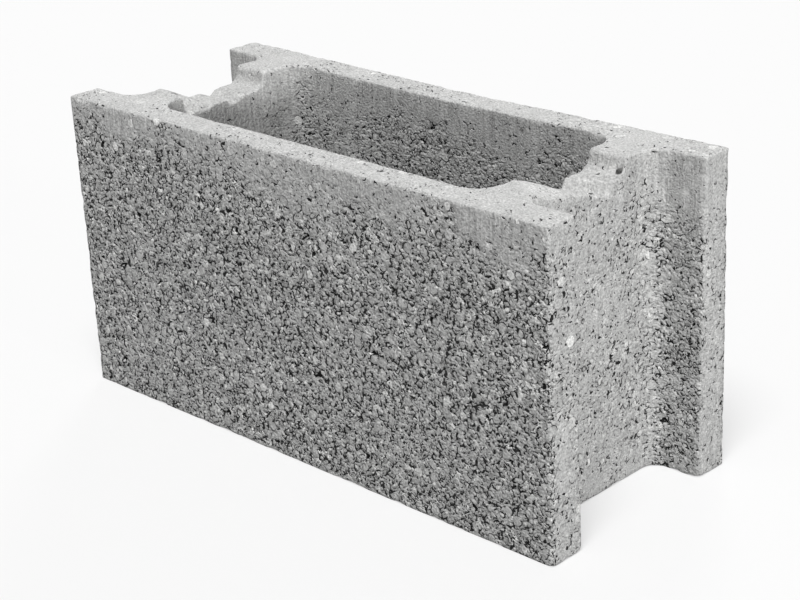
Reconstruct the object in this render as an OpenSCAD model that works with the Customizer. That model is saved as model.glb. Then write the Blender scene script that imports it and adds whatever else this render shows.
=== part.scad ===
// Hollow concrete formwork block: two face shells tied by two cross webs, open top and bottom.
// Length along X, wall thickness along Y, +Z up. The origin is the centre of the foot.

/* [Block] */
// Length of the block along the wall
block_l = 500; // [420:5:600]
// Width of the block across the wall
block_w = 200; // [180:5:300]
// Height of one course
block_h = 250; // [190:5:300]
// Radius of the four upright outer corners
arris_r = 2; // [0.5:0.5:5]

/* [Core cavity] */
// Thickness of each face shell at the top
shell_t = 26; // [20:1:36]
// Thickness of each cross web at the top
web_t = 34; // [24:1:50]
// Radius of the cavity's upright corners at the top
core_r = 22; // [14:1:30]
// How far each cavity wall leans inwards from the top to the foot
core_draft = 4; // [1:0.5:8]

/* [End recesses] */
// Depth of the recess in each end at the top
recess_d = 45; // [30:1:60]
// Thickness of each end flange at the top
flange_t = 29; // [22:1:40]
// Radius of the recess's inner corners at the top
recess_r = 16; // [10:1:24]
// How far each recess wall leans inwards from the top to the foot
recess_draft = 3; // [1:0.5:6]

/* [Bar notches] */
// Width of the notch in the top of each web, between its lips
notch_w = 86; // [60:1:96]
// Depth of the notch floor below the top
notch_d = 14; // [10:0.5:24]
// How far the ramp on the front side of the notch runs, from its lip to the floor
ramp_run = 26; // [10:1:40]
// Radius of the round back lip, above the hollow curve of the back side
lip_r = 4; // [1:0.5:6]
// Radius of the groove that the bar lies in
groove_r = 7; // [4:0.5:10]
// Depth of the groove below the notch floor
groove_d = 5; // [2:0.5:6]
// How far the groove lies behind the centre of the web
groove_y = 5; // [-15:1:15]

/* [Hidden] */
$fn = 48;
// How far a cut runs past the face that it opens
cut = 5;
core_l = block_l - 2 * (recess_d + web_t);
core_w = block_w - 2 * shell_t;
recess_w = block_w - 2 * flange_t;

// Flat rectangle with round corners, centred
module rounded_plan(size, r) {
    square([size.x, size.y - 2 * r], center = true);
    square([size.x - 2 * r, size.y], center = true);
    for (side_x = [-1, 1], side_y = [-1, 1])
        translate([side_x * (size.x / 2 - r), side_y * (size.y / 2 - r)])
            circle(r);
}

// Upright profile between two walls that lean in by draft from the top to the foot
module leaning_profile(w, draft) {
    foot = w / 2 - draft * (block_h + cut) / block_h;
    top = w / 2 + draft * cut / block_h;
    polygon([[-foot, -cut], [foot, -cut], [top, block_h + cut], [-top, block_h + cut]]);
}

// Cutter for an upright pocket through the full height: size and corner radius hold at the top
module drafted_pocket(size, r, draft) {
    rotate([90, 0, 0])
        linear_extrude(size.y - 2 * r, center = true)
            leaning_profile(size.x, draft);
    rotate([90, 0, 90])
        linear_extrude(size.x - 2 * r, center = true)
            leaning_profile(size.y, draft);
    for (side_x = [-1, 1], side_y = [-1, 1])
        translate([side_x * (size.x / 2 - r), side_y * (size.y / 2 - r), -cut])
            cylinder(
                h = block_h + 2 * cut,
                r1 = r - draft * (block_h + cut) / block_h,
                r2 = r + draft * cut / block_h
            );
}

// Section of the bar notch: a ramp in front, a flat floor with a groove for the bar, and behind it
// a hollow curve that rises to a round lip. Its origin lies on the top of the web.
module notch_profile() {
    hollow_r = notch_d - lip_r;
    back = notch_w / 2 - lip_r;
    polygon([
        [-notch_w / 2 - cut * ramp_run / notch_d, cut],
        [-notch_w / 2 + ramp_run, -notch_d],
        [back - hollow_r, -notch_d],
        [back - hollow_r, cut]
    ]);
    translate([back - hollow_r, -lip_r])
        circle(hollow_r);
    // Round back lip
    difference() {
        translate([0, -lip_r])
            square([notch_w / 2, lip_r + cut]);
        translate([notch_w / 2, -lip_r])
            circle(lip_r);
    }
    // Groove for the bar
    translate([groove_y, groove_r - notch_d - groove_d])
        circle(groove_r);
}

module formwork_block() {
    color("darkgray")
        difference() {
            linear_extrude(block_h)
                rounded_plan([block_l, block_w], arris_r);
            drafted_pocket([core_l, core_w], core_r, core_draft);
            for (side = [-1, 1])
                translate([side * block_l / 2, 0, 0])
                    drafted_pocket([2 * recess_d, recess_w], recess_r, recess_draft);
            // One straight channel cuts the notch in both webs
            translate([0, 0, block_h])
                rotate([90, 0, 90])
                    linear_extrude(block_l, center = true)
                        notch_profile();
        }
}

formwork_block();
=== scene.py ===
"""Hollow concrete formwork block: its worn, open-grained casting, lit in a small studio."""

import math
from typing import NamedTuple

import bpy
from mathutils import Matrix, Vector


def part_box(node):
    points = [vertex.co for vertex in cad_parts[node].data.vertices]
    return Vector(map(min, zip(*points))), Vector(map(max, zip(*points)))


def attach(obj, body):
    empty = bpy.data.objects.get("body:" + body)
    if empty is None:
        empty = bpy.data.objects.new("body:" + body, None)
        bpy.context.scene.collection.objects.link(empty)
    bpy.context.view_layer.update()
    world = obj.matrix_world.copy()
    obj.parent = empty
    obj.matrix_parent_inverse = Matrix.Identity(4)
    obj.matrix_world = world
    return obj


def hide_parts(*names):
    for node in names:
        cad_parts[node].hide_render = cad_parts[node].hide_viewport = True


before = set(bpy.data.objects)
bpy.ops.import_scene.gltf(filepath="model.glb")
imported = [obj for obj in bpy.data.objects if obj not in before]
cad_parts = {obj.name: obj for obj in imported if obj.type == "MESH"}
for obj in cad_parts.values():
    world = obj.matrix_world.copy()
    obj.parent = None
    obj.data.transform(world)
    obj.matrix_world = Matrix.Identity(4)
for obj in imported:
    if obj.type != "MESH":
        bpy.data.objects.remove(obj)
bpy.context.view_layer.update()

bl_info = {
    "name": "Hollow Formwork Block",
    "version": (1, 0, 0),
    "blender": (4, 5, 0),
    "location": "3D View > Sidebar > Formwork",
    "description": "Casts a worn, open-grained concrete formwork block and lights it in a small studio",
    "category": "Object",
}

NODE = "formwork_block"
MM = 0.001

# Outer half length, outer half width and height of the block in millimetres
HALF_L, HALF_W, TOP = (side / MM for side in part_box(NODE)[1])
# Walls at the top, in millimetres from the middle of the block
CORE_END = 171.0
WEB_MIDDLE = 190.0
RECESS_FLOOR = 205.0
SHELL_INNER = 74.0
# Where the rise on the notch's ramp begins, is highest and ends, in millimetres across the block
RAMP_LIP = -43.0
RAMP_CREST = -25.0
RAMP_FOOT = -4.0

# Zones of the block in millimetres, from where each fades in to where it wholly holds
FACE_ZONE = (HALF_W - 5, HALF_W - 2)
END_ZONE = (HALF_L - 6, HALF_L - 3)
RECESS_ZONE = (WEB_MIDDLE - 5, WEB_MIDDLE + 5)
BACK_ZONE = (-10.0, 10.0)
FLANGE_TOP_ZONE = (TOP - 75, TOP - 30)
WEB_ZONE = (CORE_END - 3, CORE_END + 3)
PAST_WEB_ZONE = (RECESS_FLOOR - 2, RECESS_FLOOR + 3)
NOTCH_ZONE = (TOP - 28, TOP - 18)
BACK_SHELL_ZONE = (SHELL_INNER - 34, SHELL_INNER)
SAG_ZONE = (TOP - 60, TOP)
RAMP_RISE_ZONE = (RAMP_LIP, RAMP_CREST - 1)
RAMP_FALL_ZONE = (RAMP_CREST + 1, RAMP_FOOT)
RAMP_TOP_ZONE = (TOP - 35, TOP - 18)
RIGHT_WEB_ZONE = (CORE_END - 21, CORE_END - 6)
RIGHT_CORNER_ZONE = (HALF_L - 12, HALF_L)
PAST_CORNER_ZONE = (-HALF_W, 12 - HALF_W)
ABOVE_FOOT_ZONE = (0.5, 6.0)

# How far a face has to turn a certain way to begin to count as turned, and to wholly count
FLANGE_FACING = (0.5, 0.9)
LEFT_WALL_FACING = (0.4, 0.9)
WEB_SIDE_FACING = (0.3, 0.7)
PRESSED_FACING = (0.5, 0.85)
BLOOM_FACING = (0.5, 0.9)
SLANT_FACING = (0.2, 0.5)


class Break(NamedTuple):
    """A lump that came off the casting, in millimetres."""

    middle: tuple  # middle of the broken face
    size: tuple  # width, run and depth of the lump
    heading: tuple  # where the broken face looks


BREAKS = {
    "right notch step": Break((188, -6, 235), (72, 41, 24), (-0.13, 0.37, 0.92)),
    "right notch lip": Break((198, -44, 245), (60, 44, 20), (0.28, 0.33, 0.9)),
    "left notch inner edge": Break((-180.5, -32, 239), (28, 24, 15), (0.53, 0.0, 0.85)),
    "front top left corner": Break((-249.4, -99.4, 249.4), (9, 9, 8), (-0.58, -0.58, 0.58)),
    "front top edge": Break((-234, -99, 249), (14, 7, 6), (0.0, -0.7, 0.7)),
    "front foot corner": Break((248.7, -98.7, 1.5), (12, 12, 8), (0.6, -0.6, -0.5)),
    "back flange foot corner": Break((248.5, 70, 1.5), (14, 14, 10), (0.65, -0.6, -0.45)),
    "blow hole": Break((198.5, 41.5, 235.5), (5.6, 4.2, 14), (0.3, -0.75, 0.59)),
}
# Roughest that a break may be, as a share of its run, and the cuts along each edge of its lump
ROUGHEST = 0.1
BREAK_CUTS = 5
# Where a broken face ends: along it, as a share of its run, and off it, in millimetres
BREAK_ALONG = (0.4, 0.6)
BREAK_OFF = (2.0, 4.0)

# Run and reach in millimetres of the noises that bend the walls of all grains and tear those of the grit
BEND_RUN = 4.5
BEND_REACH = 1.1
TEAR_RUN = 2.2
TEAR_REACH = 0.6

# Share of the coarse cells without a stone, and radius of the largest stone as a share of its cell
STONELESS = 0.55
STONE_FILL = 0.56
# Radius of a cell without a stone in millimetres, far enough below 0 to leave no rim
NO_STONE = -1.2
# Run of the noise that parts the paste from the stones
RIM_RUN = 5.0
# Millimetres inside a stone's edge, below 0 outside it, over which the stone and its rim fade
STONE_EDGE = (-0.3, 0.3)
RIM_OUTSIDE = (-0.9, -0.35)
RIM_INSIDE = (-0.1, 0.3)
# Levels of the noise and of the openness between which a rim parts
PARTED_LEVELS = (0.48, 0.58)
PARTED_OPEN = (0.1, 0.8)


class Opening(NamedTuple):
    """How gaps part the walls between grains, lengths in millimetres."""

    run: float  # how far a gap runs on
    gain: float  # share of the walls that part on an open face
    healed: float  # share that the paste closes again on every face
    wide: float  # widest gap


HOLE = Opening(run=7.0, gain=0.7, healed=0.2, wide=2.6)
PORE = Opening(run=2.8, gain=0.95, healed=0.18, wide=1.2)
# Moves the pores' noise away from that of the holes
PORE_SHIFT = (61.0, 0.0, 0.0)
# Level that the noise hardly ever passes, and how far the level falls for a share of 1
NOISE_CREST = 0.71
NOISE_REACH = 0.142
# Millimetres that a gap widens for a unit of noise above the level
GAP_FLARE = 11.0

# Share of the grains on a wholly open face that have a slit, and the widest slits in millimetres
SLIT_SHARE = 0.55
GRIT_SLIT = 1.0
SAND_SLIT = 0.85
# Above a half, slits lie under a grain more often than over it, so their painted shade falls mostly below
# the grains
SLIT_DROOP = 0.6
# How fast a slit widens towards its side of the grain, and the share of the grain at which it starts
SLIT_FLARE = 1.1
SLIT_START = 0.15
# Millimetres that close the slit of the other grains
SLIT_SHUT = 3.0
# How far around the share a grain's slit is neither open nor shut
SLIT_DOUBT = 0.01
# Millimetres into a gap, below 0 outside it, over which its crevice and its brink fade
CREVICE_EDGE = (-0.2, 0.06)
BRINK_EDGE = (-0.75, -0.2)

# Slurried band below the top in millimetres: depth, and run and reach of its wavy edge
SLURRY_DEPTH = 50.0
SLURRY_RUN = 42.0
SLURRY_WANDER = 90.0
# Run of the denser and opener patches, and the levels of their noise between which they open
PATCH_RUN = 30.0
PATCH_LEVELS = (0.33, 0.6)

# How open the grain is on the upright faces, from 0 to 1, in the slurried band and below it
FACE_BANDS = (0.36, 1.0)
RECESS_BANDS = (0.5, 1.0)
CORE_BANDS = (0.25, 0.75)
# The same in the dense patches and in the open ones, as a factor of the above
FACE_PATCHES = (0.91, 1.0)
RECESS_PATCHES = (0.32, 0.62)
CORE_PATCHES = (0.6, 1.0)
# Factor on the cavity's right-facing wall
LEFT_WALL_SHARE = 0.5
# Added inside the flanges, low down and near the top, and on the ends, in front and behind
FLANGE_ADDED = (0.3, -0.2)
END_ADDED = (0.05, -0.14)
# How open the pressed top is, what its open patches add, and the least on a break
TOP_OPEN = 0.14
TOP_PATCHES = 0.26
BREAK_OPEN = 0.22

# Wear of the arrises: passes that smooth them, run in millimetres and levels of the noise that weakens
# them, how far a firm and a weak arris wear, and what the front right corner adds
WEAR_PASSES = 10
WEAK_RUN = 16.0
WEAK_LEVELS = (0.45, 0.72)
WEAK_WEAR = (0.2, 1.4)
CORNER_WEAR = 0.25
# Relief of the mesh: run of the lumps and of a stone's slope in millimetres, the stone's rise as a share
# of a lump, the openness between which lumps come up, and millimetres over which a hole goes down
LUMP_RUN = 12.0
STONE_SLOPE = 2.4
STONE_RISE = 0.6
LUMP_OPEN = (0.15, 0.9)
HOLE_EDGE = (-0.6, 0.6)
# Millimetres within which the frame's loose corners are merged
MERGE_DISTANCE = 0.01

# Run of each noise in the material in millimetres
SPECKLE_RUN = 1.6
MOTTLE_RUN = 22.0
STREAK_RUN = 3.0
# Squeeze of the streaks' noise along the height
STREAK_SQUEEZE = (1.0, 1.0, 0.05)
# Openness between which the streaks fade out, and between which the grains swell
STREAK_OPEN = (0.2, 0.6)
SWELL_OPEN = (0.2, 0.9)
# Chances between which a grain turns pale, and how pale the sand gets beside the grit
PALE_GRIT = (0.9, 0.96)
PALE_SAND = (0.9, 0.97)
PALE_STONE = (0.7, 0.88)
SAND_PALENESS = 0.8
# How much each part of the grain changes the tone, as a share of it
SPECKLE_TONE = 1.2
MOTTLE_TONE = 0.3
STREAK_TONE = 0.8
GRIT_TONE = 0.15
SAND_TONE = 0.3
STONE_TONE = 0.3
# Painted highlight: the brinks beside the gaps are brightened, as if their edges caught the light
BRINK_PAINTED_HIGHLIGHT = 0.32
# Painted shade: the crevices are darkened almost to black, as if shadowed inside the gaps
CREVICE_PAINTED_SHADE = 0.97
# How high or deep each part of the grain is in millimetres, and how steep its grains are
SPECKLE_HEIGHT = 0.6
OPEN_SPECKLE_HEIGHT = 0.8
STREAK_HEIGHT = 1.2
BRINK_DEPTH = 0.4
CREVICE_DEPTH = 1.2
GRIT_STEEPNESS = 0.1
SAND_STEEPNESS = 0.25
CONCRETE_ROUGHNESS = 0.92
CONCRETE_SPECULAR = 0.25

WHITE = (1.0, 1.0, 1.0, 1.0)
# Width of the camera's sensor in millimetres and of the floor in metres
SENSOR_WIDTH = 36.0
FLOOR_SIZE = 12.0


class Wire:
    """A node socket that takes part in Python expressions: each operator adds the node that it needs."""

    def __init__(self, tree, socket=None):
        self.tree = tree
        self.socket = socket

    def node(self, kind, settings=None, sockets=None, output=0):
        """Add a node of this kind, set its settings and then its sockets, and return one of its outputs."""
        node = self.tree.nodes.new(kind)
        for name, value in (settings or {}).items():
            setattr(node, name, value)
        for key, value in (sockets or {}).items():
            if isinstance(value, Wire):
                self.tree.links.new(value.socket, node.inputs[key])
            else:
                node.inputs[key].default_value = value
        return Wire(self.tree, node.outputs[output] if node.outputs else None)

    def maths(self, operation, *values):
        """Math node on values, or a Vector Math node where a vector or a colour takes part."""
        vectors = [value for value in values if is_vector(value)]
        if not vectors:
            return self.node("ShaderNodeMath", {"operation": operation}, dict(enumerate(values)))
        sockets = dict(enumerate(values))
        if operation == "MULTIPLY" and len(vectors) == 1:
            operation = "SCALE"
            scales = [value for value in values if not is_vector(value)]
            sockets = {0: vectors[0], "Scale": scales[0]}
        return self.node("ShaderNodeVectorMath", {"operation": operation}, sockets)

    def __add__(self, other):
        return self.maths("ADD", self, other)

    def __radd__(self, other):
        return self.maths("ADD", other, self)

    def __sub__(self, other):
        return self.maths("SUBTRACT", self, other)

    def __rsub__(self, other):
        return self.maths("SUBTRACT", other, self)

    def __mul__(self, other):
        return self.maths("MULTIPLY", self, other)

    def __rmul__(self, other):
        return self.maths("MULTIPLY", other, self)

    def __abs__(self):
        return self.maths("ABSOLUTE", self)

    def at_least(self, other):
        return self.maths("MAXIMUM", self, other)

    def at_most(self, other):
        return self.maths("MINIMUM", self, other)

    def ramp(self, low, high, start=0.0, end=1.0):
        """Smooth step from start to end while the value goes from low to high."""
        return self.node(
            "ShaderNodeMapRange",
            {"interpolation_type": "SMOOTHSTEP"},
            {0: self, 1: low, 2: high, 3: start, 4: end},
        )

    def fade(self, low, high):
        """Smooth step from 1 to 0 while the value goes from low to high."""
        return self.ramp(low, high, 1.0, 0.0)

    def between(self, zero, one):
        """Value that goes from zero to one as this factor goes from 0 to 1."""
        return self.node("ShaderNodeMix", {"data_type": "FLOAT"}, {0: self, 2: zero, 3: one})

    def between_colours(self, zero, one):
        """Colour that goes from zero to one as this factor goes from 0 to 1."""
        return self.node("ShaderNodeMix", {"data_type": "RGBA"}, {0: self, 6: zero, 7: one}, output=2)

    def swing(self, share):
        """This noise around 0.5 as a change of this share around 0."""
        return share * (self - 0.5)

    def along(self, heading):
        """How far this vector reaches along a heading of length 1."""
        sockets = {0: self, 1: heading}
        return self.node("ShaderNodeVectorMath", {"operation": "DOT_PRODUCT"}, sockets, output=1)

    def split(self):
        """The three parts of a vector."""
        node = self.node("ShaderNodeSeparateXYZ", {}, {0: self}).socket.node
        return [Wire(self.tree, socket) for socket in node.outputs]


def is_vector(value):
    if isinstance(value, Wire):
        return value.socket.type in ("VECTOR", "RGBA")
    return isinstance(value, tuple)


def noise(place, size, detail=2.0, roughness=0.5):
    """Cloudy noise around 0.5 with lumps of this size in millimetres."""
    sockets = {"Vector": place, "Scale": 1 / size, "Detail": detail, "Roughness": roughness}
    return place.node("ShaderNodeTexNoise", {}, sockets)


def noise_shift(place, size, reach):
    """Vector noise that shifts a place by up to about reach millimetres."""
    sockets = {"Vector": place, "Scale": 1 / size, "Detail": 1.0}
    colour = place.node("ShaderNodeTexNoise", {}, sockets, output="Color")
    return (colour - (0.5, 0.5, 0.5)) * (2 * reach)


def cells(place, size, feature):
    return place.node("ShaderNodeTexVoronoi", {"feature": feature}, {"Vector": place, "Scale": 1 / size})


def cell_edge(place, size):
    """Distance in millimetres from the wall of a cell of about this size."""
    return cells(place, size, "DISTANCE_TO_EDGE") * size


class Cell:
    """The cell of about this size that a place lies in."""

    def __init__(self, place, size):
        outputs = cells(place, size, "F1").socket.node.outputs
        distance, colour, middle = [Wire(place.tree, socket) for socket in outputs[:3]]
        self.place = place
        self.size = size
        self.distance = distance * size
        self.offset = place - middle
        self.chances = colour.split()


def gap(place, bent, size, openness, opening):
    """Millimetres into the gaps between grains of this size, below 0 outside them.

    A gap opens along the share of the grains' walls that a noise picks.
    """
    share = opening.gain * openness - opening.healed
    level = NOISE_CREST - NOISE_REACH * share
    half = ((noise(place, opening.run) - level) * GAP_FLARE).at_most(opening.wide / 2)
    return half - cell_edge(bent, size)


def crescent(cell, share, wide):
    """Millimetres into the slit along one side of this share of the grains, below 0 outside it; the
    material dents the slit and paints it dark as the grain's shade.
    """
    chance, turn, lean = cell.chances
    parts = {"X": turn - 0.5, "Y": turn - 0.5, "Z": lean - SLIT_DROOP}
    heading = cell.place.node("ShaderNodeCombineXYZ", {}, parts)
    toward = cell.place.node("ShaderNodeVectorMath", {"operation": "NORMALIZE"}, {0: heading})
    width = (SLIT_FLARE * cell.offset.along(toward) - SLIT_START * cell.size).at_most(wide)
    shut = SLIT_SHUT * (chance - share).ramp(-SLIT_DOUBT, SLIT_DOUBT)
    return width - cell_edge(cell.place, cell.size) - shut


class Grain:
    """Stones, grit and sand on a moulded face, and the crevices that the paste left open between them.

    The fields are solid, so the grain runs on round every arris. Places are in millimetres.
    """

    def __init__(self, place, openness, concrete):
        stone_size = concrete.stone_size / MM
        grit_size = concrete.grit_size / MM
        sand_size = concrete.sand_size / MM
        bent = place + noise_shift(place, BEND_RUN, BEND_REACH)
        torn = bent + noise_shift(place, TEAR_RUN, TEAR_REACH)
        boulder = Cell(bent, stone_size)
        grit = Cell(torn, grit_size)
        sand = Cell(bent, sand_size)
        self.grit_way = grit.distance
        self.sand_way = sand.distance
        self.grit_tone = grit.chances[0]
        self.sand_tone = sand.chances[0]

        # Coarse stones, and the rims along which the paste parted from them
        chance, self.tone, self.rank = boulder.chances
        radius = chance.ramp(STONELESS, 1.0, NO_STONE, STONE_FILL * stone_size)
        self.inside = radius - boulder.distance
        self.stone = self.inside.ramp(*STONE_EDGE)
        self.loose = 1 - self.stone
        rim = self.inside.ramp(*RIM_OUTSIDE) * self.inside.fade(*RIM_INSIDE)
        parted = noise(place, RIM_RUN).ramp(*PARTED_LEVELS) * openness.ramp(*PARTED_OPEN)

        # Gaps between the other grains, with a brink beside each; the material paints the crevices dark as
        # shade and the brinks bright as highlight
        self.hole = gap(place, torn, stone_size, openness, HOLE)
        pore = gap(place + PORE_SHIFT, torn, grit_size, openness, PORE)
        share = SLIT_SHARE * openness * openness
        slits = crescent(grit, share, GRIT_SLIT).at_least(crescent(sand, share, SAND_SLIT))
        gape = self.hole.at_least(pore).at_least(slits)
        # The crevice mask covers the gaps and the parted rims; the material dents it and paints it dark as
        # shade
        self.crevice = (gape.ramp(*CREVICE_EDGE) * self.loose).at_least(rim * parted)
        self.brink = gape.ramp(*BRINK_EDGE) * self.loose * (1 - self.crevice)


class CastSettings(bpy.types.PropertyGroup):
    mesh_step: bpy.props.FloatProperty(
        name="Mesh step",
        description="Edge length of the even mesh that the casting is shaped on",
        default=1.4 * MM,
        unit="LENGTH",
    )
    triangles: bpy.props.IntProperty(
        name="Triangles",
        description="Triangles that the finished casting keeps",
        default=196000,
    )
    wear: bpy.props.FloatProperty(
        name="Arris wear",
        description="How far the arrises are worn round",
        default=0.8,
        subtype="FACTOR",
    )
    lump: bpy.props.FloatProperty(
        name="Lump",
        description="Height of the stones above their edges",
        default=0.45 * MM,
        unit="LENGTH",
    )
    hole_depth: bpy.props.FloatProperty(
        name="Hole depth",
        description="Depth of the larger holes between stones",
        default=2.4 * MM,
        unit="LENGTH",
    )
    proud: bpy.props.FloatProperty(
        name="Ramp rise",
        description="How far the right notch's ramp stands proud",
        default=2.6 * MM,
        unit="LENGTH",
    )
    roughness: bpy.props.FloatProperty(
        name="Break roughness",
        description="How rough the broken faces are",
        default=1.2 * MM,
        unit="LENGTH",
    )
    sag: bpy.props.FloatProperty(
        name="Back sag",
        description="How far the back shell's top dips mid-way",
        default=2.5 * MM,
        unit="LENGTH",
    )


class ConcreteSettings(bpy.types.PropertyGroup):
    paste: bpy.props.FloatVectorProperty(
        name="Paste",
        description="Colour of the cement paste",
        default=(0.41, 0.41, 0.405),
        subtype="COLOR",
    )
    pale_stone: bpy.props.FloatVectorProperty(
        name="Pale stone",
        description="Colour of the palest stones",
        default=(0.58, 0.58, 0.57),
        subtype="COLOR",
    )
    bloom: bpy.props.FloatVectorProperty(
        name="Bloom",
        description="Colour of the pressed top faces",
        default=(0.445, 0.445, 0.44),
        subtype="COLOR",
    )
    stone_size: bpy.props.FloatProperty(
        name="Stone size",
        description="Size of the coarse stones",
        default=7.8 * MM,
        unit="LENGTH",
    )
    grit_size: bpy.props.FloatProperty(
        name="Grit size",
        description="Size of the grains between the stones",
        default=4.0 * MM,
        unit="LENGTH",
    )
    sand_size: bpy.props.FloatProperty(
        name="Sand size",
        description="Size of the finest grains that show",
        default=2.3 * MM,
        unit="LENGTH",
    )


class StudioSettings(bpy.types.PropertyGroup):
    eye: bpy.props.FloatVectorProperty(
        name="Eye",
        description="Place of the camera",
        default=(0.9982, -0.9829, 0.6834),
        subtype="TRANSLATION",
    )
    azimuth: bpy.props.FloatProperty(
        name="Azimuth",
        description="Turn of the camera about the block",
        default=math.radians(45.02),
        unit="ROTATION",
    )
    elevation: bpy.props.FloatProperty(
        name="Elevation",
        description="How steeply the camera looks down",
        default=math.radians(22.54),
        unit="ROTATION",
    )
    roll: bpy.props.FloatProperty(
        name="Roll",
        description="Tilt of the camera about its own axis",
        default=math.radians(-2.82),
        unit="ROTATION",
    )
    lens: bpy.props.FloatProperty(
        name="Lens",
        description="Focal length in millimetres on a 36 mm sensor",
        default=87.19,
    )
    key_heading: bpy.props.FloatVectorProperty(
        name="Key heading",
        description="Where the key light stands",
        default=(0.23, -0.32, 0.92),
        subtype="DIRECTION",
    )
    key_level: bpy.props.FloatProperty(
        name="Key level",
        description="Brightness of a white face turned to the key light",
        default=1.08,
    )
    key_spread: bpy.props.FloatProperty(
        name="Key spread",
        description="Angle that the key light spans",
        default=math.radians(26),
        unit="ROTATION",
    )
    side_heading: bpy.props.FloatVectorProperty(
        name="Side heading",
        description="Where the side light stands",
        default=(0.995, -0.1, 0.026),
        subtype="DIRECTION",
    )
    side_level: bpy.props.FloatProperty(
        name="Side level",
        description="Brightness of a white face turned to the side light",
        default=0.53,
    )
    side_spread: bpy.props.FloatProperty(
        name="Side spread",
        description="Angle that the side light spans",
        default=math.radians(5),
        unit="ROTATION",
    )
    back_heading: bpy.props.FloatVectorProperty(
        name="Back heading",
        description="Where the back light stands",
        default=(-0.55, 0.83, 0.09),
        subtype="DIRECTION",
    )
    back_level: bpy.props.FloatProperty(
        name="Back level",
        description="Brightness of a white face turned to the back light",
        default=0.65,
    )
    back_spread: bpy.props.FloatProperty(
        name="Back spread",
        description="Angle that the back light spans",
        default=math.radians(20),
        unit="ROTATION",
    )
    ambient: bpy.props.FloatProperty(
        name="Ambient",
        description="Brightness of the even light all round",
        default=0.3,
    )
    floor_colour: bpy.props.FloatVectorProperty(
        name="Floor",
        description="Colour of the floor",
        default=(0.4, 0.4, 0.4),
        subtype="COLOR",
    )
    floor_lift: bpy.props.FloatProperty(
        name="Floor lift",
        description="How much the floor is lifted to white where it is looked at",
        default=0.425,
    )


def new_tree(name):
    """Empty geometry tree with a geometry input and output, and the wire from its input."""
    tree = bpy.data.node_groups.new(name, "GeometryNodeTree")
    tree.interface.new_socket("Geometry", in_out="INPUT", socket_type="NodeSocketGeometry")
    tree.interface.new_socket("Geometry", in_out="OUTPUT", socket_type="NodeSocketGeometry")
    return tree, Wire(tree).node("NodeGroupInput")


def store(geometry, name, kind, value):
    """Keep a value on the mesh under this name, for the material to read."""
    return geometry.node(
        "GeometryNodeStoreNamedAttribute",
        {"data_type": kind, "domain": "POINT"},
        {"Geometry": geometry, "Name": name, "Value": value},
    )


def shift(geometry, offset):
    return geometry.node("GeometryNodeSetPosition", {}, {"Geometry": geometry, "Offset": offset})


def upward(amount):
    """Vector straight up, of this many millimetres."""
    return amount.node("ShaderNodeCombineXYZ", {}, {"Z": amount * MM})


def broken(place):
    """1 on the broken faces and 0 away from them."""
    mask = None
    for lump in BREAKS.values():
        run = lump.size[1]
        sockets = {0: place, 1: lump.middle}
        way = place.node("ShaderNodeVectorMath", {"operation": "DISTANCE"}, sockets, output=1)
        aside = (place - lump.middle).along(Vector(lump.heading).normalized())
        begin, end = (share * run for share in BREAK_ALONG)
        near = way.fade(begin, end) * abs(aside).fade(*BREAK_OFF)
        mask = near if mask is None else mask.at_least(near)
    return mask


def open_grain(place, normal):
    """How open the grain is, from 0 on a slurried face to 1 on an open one."""
    x, y, z = place.split()
    facing_x, facing_y, facing_z = normal.split()
    wander = (noise(place, SLURRY_RUN) - 0.5) * SLURRY_WANDER
    below_slurry = (TOP - z + wander).ramp(0.0, SLURRY_DEPTH)
    patches = noise(place, PATCH_RUN, detail=3.0).ramp(*PATCH_LEVELS)

    # Upright faces: outside, in the end recesses and in the core cavity
    face = below_slurry.between(*FACE_BANDS) * patches.between(*FACE_PATCHES)
    flange = abs(facing_y).ramp(*FLANGE_FACING) * z.ramp(*FLANGE_TOP_ZONE, *FLANGE_ADDED)
    end = abs(x).ramp(*END_ZONE) * y.ramp(*BACK_ZONE, *END_ADDED)
    recess = (patches.between(*RECESS_PATCHES) + flange) * below_slurry.between(*RECESS_BANDS) + end
    left_wall = facing_x.ramp(*LEFT_WALL_FACING, 1.0, LEFT_WALL_SHARE)
    core = below_slurry.between(*CORE_BANDS) * patches.between(*CORE_PATCHES) * left_wall
    inner = abs(x).ramp(*RECESS_ZONE).between(core, recess)
    upright = abs(y).ramp(*FACE_ZONE).between(inner, face)

    # Pressed faces: the top and the moulded notches
    web = abs(x).ramp(*WEB_ZONE) * abs(x).fade(*PAST_WEB_ZONE)
    notch = web * z.ramp(*NOTCH_ZONE) * abs(facing_x).fade(*WEB_SIDE_FACING)
    pressed = facing_z.ramp(*PRESSED_FACING).at_least(notch)
    top = TOP_OPEN + TOP_PATCHES * patches * (1 - notch)
    return pressed.between(upright, top).at_least(BREAK_OPEN * broken(place))


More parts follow.
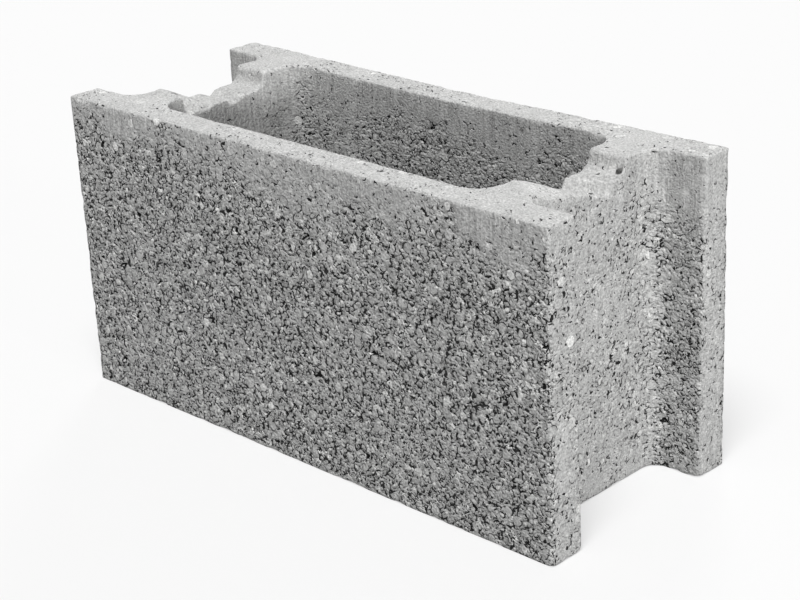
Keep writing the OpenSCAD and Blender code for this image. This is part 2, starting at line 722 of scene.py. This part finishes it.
def relief_tree(cast, concrete):
    """Geometry nodes that sag, wear and open the grain of the even mesh."""
    tree, geometry = new_tree("block_relief")
    position = geometry.node("GeometryNodeInputPosition")
    normal = geometry.node("GeometryNodeInputNormal")
    place = position * (1 / MM)
    x, y, z = place.split()

    # The back shell's top dips mid-way along the block
    along = abs(x).fade(0.0, HALF_L)
    back_top = y.ramp(*BACK_SHELL_ZONE) * z.ramp(*SAG_ZONE)
    geometry = shift(geometry, upward(along * back_top * (-cast.sag / MM)))

    # The ramp of the right notch stands a little proud of its line
    on_ramp = y.ramp(*RAMP_RISE_ZONE) * y.fade(*RAMP_FALL_ZONE)
    right_web = x.ramp(*RIGHT_WEB_ZONE) * z.ramp(*RAMP_TOP_ZONE)
    geometry = shift(geometry, upward(on_ramp * right_web * (cast.proud / MM)))

    # Arrises wear towards a smoothed copy of the mesh, deeper where the edge is weak
    smoothed = position.node(
        "GeometryNodeBlurAttribute",
        {"data_type": "FLOAT_VECTOR"},
        {"Value": position, "Iterations": WEAR_PASSES},
    )
    corner = x.ramp(*RIGHT_CORNER_ZONE) * y.fade(*PAST_CORNER_ZONE)
    weak = noise(place, WEAK_RUN, detail=3.0).ramp(*WEAK_LEVELS, *WEAK_WEAR) + CORNER_WEAR * corner
    geometry = shift(geometry, (smoothed - position) * (weak * cast.wear))

    openness = open_grain(place, normal)
    geometry = store(geometry, "cast", "FLOAT_VECTOR", position)
    geometry = store(geometry, "openness", "FLOAT", openness)
    geometry = store(geometry, "upturn", "FLOAT", normal.split()[2])

    # Stones stand up and holes go down, but not at the foot, which stays flat
    grain = Grain(place, openness, concrete)
    dome = grain.inside.ramp(0.0, STONE_SLOPE) * STONE_RISE + noise(place, LUMP_RUN)
    between_stones = (1 - dome) * cast.lump * openness.ramp(*LUMP_OPEN)
    holes = grain.hole.ramp(*HOLE_EDGE) * cast.hole_depth
    depth = (between_stones + holes) * z.ramp(*ABOVE_FOOT_ZONE)
    geometry = shift(geometry, normal * (depth * -1.0))

    geometry.node("NodeGroupOutput", {}, {0: geometry})
    return tree


def apply_modifier(piece, kind, **settings):
    modifier = piece.modifiers.new(kind.lower(), kind)
    for name, value in settings.items():
        setattr(modifier, name, value)
    bpy.ops.object.modifier_apply(modifier=modifier.name)


def take_casting():
    """Copy of the frame's solid as a new piece, with its loose triangles merged."""
    bpy.ops.object.select_all(action="DESELECT")
    piece = bpy.data.objects.new("concrete_block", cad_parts[NODE].data.copy())
    bpy.context.scene.collection.objects.link(piece)
    piece.select_set(True)
    bpy.context.view_layer.objects.active = piece
    bpy.ops.object.mode_set(mode="EDIT")
    bpy.ops.mesh.select_all(action="SELECT")
    bpy.ops.mesh.remove_doubles(threshold=MERGE_DISTANCE * MM)
    bpy.ops.object.mode_set(mode="OBJECT")
    return piece


def break_off(piece, lump, roughness, seed):
    """Cut a rough lump off the piece, down to its broken face."""
    outward = Vector(lump.heading).normalized()
    width, run, depth = lump.size
    bpy.ops.object.select_all(action="DESELECT")
    bpy.ops.mesh.primitive_cube_add(
        size=MM,
        location=(Vector(lump.middle) + outward * depth / 2) * MM,
        rotation=outward.to_track_quat("Z", "Y").to_euler(),
        scale=(width, run, depth),
    )
    cutter = bpy.context.object
    bpy.ops.object.transform_apply(location=False, rotation=False, scale=True)
    bpy.ops.object.mode_set(mode="EDIT")
    bpy.ops.mesh.subdivide(number_cuts=BREAK_CUTS)
    bpy.ops.transform.vertex_random(offset=min(roughness, ROUGHEST * run * MM), seed=seed)
    bpy.ops.object.mode_set(mode="OBJECT")
    bpy.ops.object.select_all(action="DESELECT")
    bpy.context.view_layer.objects.active = piece
    piece.select_set(True)
    apply_modifier(piece, "BOOLEAN", object=cutter, operation="DIFFERENCE", solver="EXACT")
    bpy.data.objects.remove(cutter)


def concrete_material(concrete):
    """Grey concrete: paste-coated grain with crevices darkened as painted shade, brinks brightened as
    painted highlight, pale stones and a pale pressed top.
    """
    material = bpy.data.materials.new("open_grained_concrete")
    material.use_nodes = True
    tree = material.node_tree
    tree.nodes.clear()
    start = Wire(tree)
    cast = start.node("ShaderNodeAttribute", {"attribute_name": "cast"}, output="Vector")
    openness = start.node("ShaderNodeAttribute", {"attribute_name": "openness"}, output="Fac")
    upturn = start.node("ShaderNodeAttribute", {"attribute_name": "upturn"}, output="Fac")
    place = cast * (1 / MM)
    grain = Grain(place, openness, concrete)
    speckle = noise(place, SPECKLE_RUN, detail=1.0)
    mottle = noise(place, MOTTLE_RUN, detail=4.0, roughness=0.6)
    # The mould drags the slurry on the upright faces into fine streaks
    slurried = openness.fade(*STREAK_OPEN) * upturn.fade(*SLANT_FACING)
    streak = (noise(place * STREAK_SQUEEZE, STREAK_RUN) - 0.5) * slurried

    pale_sand = grain.sand_tone.ramp(*PALE_SAND) * SAND_PALENESS
    pale_grains = grain.grit_tone.ramp(*PALE_GRIT).at_least(pale_sand) * grain.loose * openness
    pale = (grain.stone * grain.tone.ramp(*PALE_STONE)).at_least(pale_grains)
    paste = upturn.ramp(*BLOOM_FACING).between_colours((*concrete.paste, 1.0), (*concrete.bloom, 1.0))
    colour = pale.between_colours(paste, (*concrete.pale_stone, 1.0))

    grit = (grain.grit_tone.swing(GRIT_TONE) + grain.sand_tone.swing(SAND_TONE)) * grain.loose * openness
    stones = grain.rank.swing(STONE_TONE) * grain.stone
    clouds = speckle.swing(SPECKLE_TONE) + mottle.swing(MOTTLE_TONE)
    tone = 1 + clouds + STREAK_TONE * streak + grit + stones
    # Random tone, times a painted highlight on the brinks and painted shade in the crevices
    shade = tone * (1 + BRINK_PAINTED_HIGHLIGHT * grain.brink) * (1 - CREVICE_PAINTED_SHADE * grain.crevice)

    grit_fall = GRIT_STEEPNESS * grain.grit_way * grain.grit_way
    sand_fall = SAND_STEEPNESS * grain.sand_way * grain.sand_way
    domes = (grit_fall + sand_fall) * grain.loose * openness.ramp(*SWELL_OPEN)
    raised = (SPECKLE_HEIGHT + OPEN_SPECKLE_HEIGHT * openness) * speckle + STREAK_HEIGHT * streak
    height = raised - domes - BRINK_DEPTH * grain.brink - CREVICE_DEPTH * grain.crevice
    normal = start.node("ShaderNodeBump", {}, {"Strength": 1.0, "Distance": 1.0, "Height": height * MM})
    shader = start.node(
        "ShaderNodeBsdfPrincipled",
        {},
        {
            "Base Color": colour * shade,
            "Roughness": CONCRETE_ROUGHNESS,
            "Specular IOR Level": CONCRETE_SPECULAR,
            "Normal": normal,
        },
    )
    start.node("ShaderNodeOutputMaterial", {}, {"Surface": shader})
    return material


class FORMWORK_OT_cast_block(bpy.types.Operator):
    """Cast the concrete block with its worn arrises and open grain"""

    bl_idname = "formwork.cast_block"
    bl_label = "Cast block"
    bl_options = {"REGISTER", "UNDO"}

    def execute(self, context):
        scene = context.scene
        cast = scene.formwork_cast
        concrete = scene.formwork_concrete
        piece = take_casting()
        for seed, lump in enumerate(BREAKS.values()):
            break_off(piece, lump, cast.roughness, seed)
        apply_modifier(piece, "REMESH", mode="VOXEL", voxel_size=cast.mesh_step)
        apply_modifier(piece, "NODES", node_group=relief_tree(cast, concrete))
        triangles = 2 * len(piece.data.polygons)
        apply_modifier(piece, "DECIMATE", ratio=cast.triangles / triangles, use_collapse_triangulate=True)
        bpy.ops.object.shade_smooth()
        piece.data.materials.clear()
        piece.data.materials.append(concrete_material(concrete))
        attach(piece, "root")
        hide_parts(NODE)
        return {"FINISHED"}


def add_camera(studio):
    data = bpy.data.cameras.new("studio_camera")
    data.sensor_width = SENSOR_WIDTH
    data.lens = studio.lens
    camera = bpy.data.objects.new("studio_camera", data)
    bpy.context.scene.collection.objects.link(camera)
    level = math.cos(studio.elevation)
    back = Vector(
        (math.sin(studio.azimuth) * level, -math.cos(studio.azimuth) * level, math.sin(studio.elevation))
    )
    aim = (-back).to_track_quat("-Z", "Y").to_matrix().to_4x4()
    camera.matrix_world = Matrix.Translation(studio.eye) @ aim @ Matrix.Rotation(studio.roll, 4, "Z")
    bpy.context.scene.camera = camera


def add_soft_light(name, heading, level, spread):
    """Distant softbox: even light over the whole floor, with shadows as soft as the angle that it spans."""
    data = bpy.data.lights.new(name, "SUN")
    data.energy = math.pi * level
    data.angle = spread
    light = bpy.data.objects.new(name, data)
    light.rotation_euler = Vector(heading).to_track_quat("Z", "Y").to_euler()
    bpy.context.scene.collection.objects.link(light)


def seen_directly(start):
    """1 where the camera looks, straight or by a mirror or glass, and 0 for light on the object."""
    seen = None
    for ray in ("Is Camera Ray", "Is Glossy Ray", "Is Transmission Ray"):
        part = start.node("ShaderNodeLightPath", output=ray)
        seen = part if seen is None else seen.at_least(part)
    return seen


def add_world(studio):
    world = bpy.data.worlds.new("studio_world")
    bpy.context.scene.world = world
    world.use_nodes = True
    world.node_tree.nodes.clear()
    start = Wire(world.node_tree)
    strength = seen_directly(start).between(studio.ambient, 1.0)
    background = start.node("ShaderNodeBackground", {}, {"Color": WHITE, "Strength": strength})
    start.node("ShaderNodeOutputWorld", {}, {"Surface": background})


def add_floor(studio):
    bpy.ops.object.select_all(action="DESELECT")
    bpy.ops.mesh.primitive_plane_add(size=FLOOR_SIZE)
    floor = bpy.context.object
    floor.name = "studio_floor"
    material = bpy.data.materials.new("pale_floor")
    material.use_nodes = True
    material.node_tree.nodes.clear()
    start = Wire(material.node_tree)
    diffuse = start.node("ShaderNodeBsdfDiffuse", {}, {"Color": (*studio.floor_colour, 1.0)})
    lift = start.node("ShaderNodeEmission", {}, {"Strength": seen_directly(start) * studio.floor_lift})
    both = start.node("ShaderNodeAddShader", {}, {0: diffuse, 1: lift})
    start.node("ShaderNodeOutputMaterial", {}, {"Surface": both})
    floor.data.materials.append(material)


class FORMWORK_OT_set_studio(bpy.types.Operator):
    """Set the floor, the soft light and the camera around the block"""

    bl_idname = "formwork.set_studio"
    bl_label = "Set studio"
    bl_options = {"REGISTER", "UNDO"}

    def execute(self, context):
        studio = context.scene.formwork_studio
        add_camera(studio)
        add_soft_light("key_light", studio.key_heading, studio.key_level, studio.key_spread)
        add_soft_light("side_light", studio.side_heading, studio.side_level, studio.side_spread)
        add_soft_light("back_light", studio.back_heading, studio.back_level, studio.back_spread)
        add_world(studio)
        add_floor(studio)
        context.scene.view_settings.view_transform = "Standard"
        return {"FINISHED"}


class FORMWORK_PT_panel(bpy.types.Panel):
    bl_idname = "FORMWORK_PT_panel"
    bl_label = "Formwork block"
    bl_space_type = "VIEW_3D"
    bl_region_type = "UI"
    bl_category = "Formwork"

    def draw(self, context):
        scene = context.scene
        for name in GROUPS:
            box = self.layout.box()
            for field in getattr(scene, name).__annotations__:
                box.prop(getattr(scene, name), field)
        for operator in OPERATORS:
            self.layout.operator(operator.bl_idname)


GROUPS = {
    "formwork_cast": CastSettings,
    "formwork_concrete": ConcreteSettings,
    "formwork_studio": StudioSettings,
}
OPERATORS = (FORMWORK_OT_cast_block, FORMWORK_OT_set_studio)
CLASSES = (*GROUPS.values(), *OPERATORS, FORMWORK_PT_panel)


def register():
    for item in CLASSES:
        bpy.utils.register_class(item)
    for name, group in GROUPS.items():
        setattr(bpy.types.Scene, name, bpy.props.PointerProperty(type=group))


def unregister():
    for name in GROUPS:
        delattr(bpy.types.Scene, name)
    for item in reversed(CLASSES):
        bpy.utils.unregister_class(item)


def main():
    register()
    bpy.ops.formwork.cast_block()
    bpy.ops.formwork.set_studio()


if __name__ == "__main__":
    main()
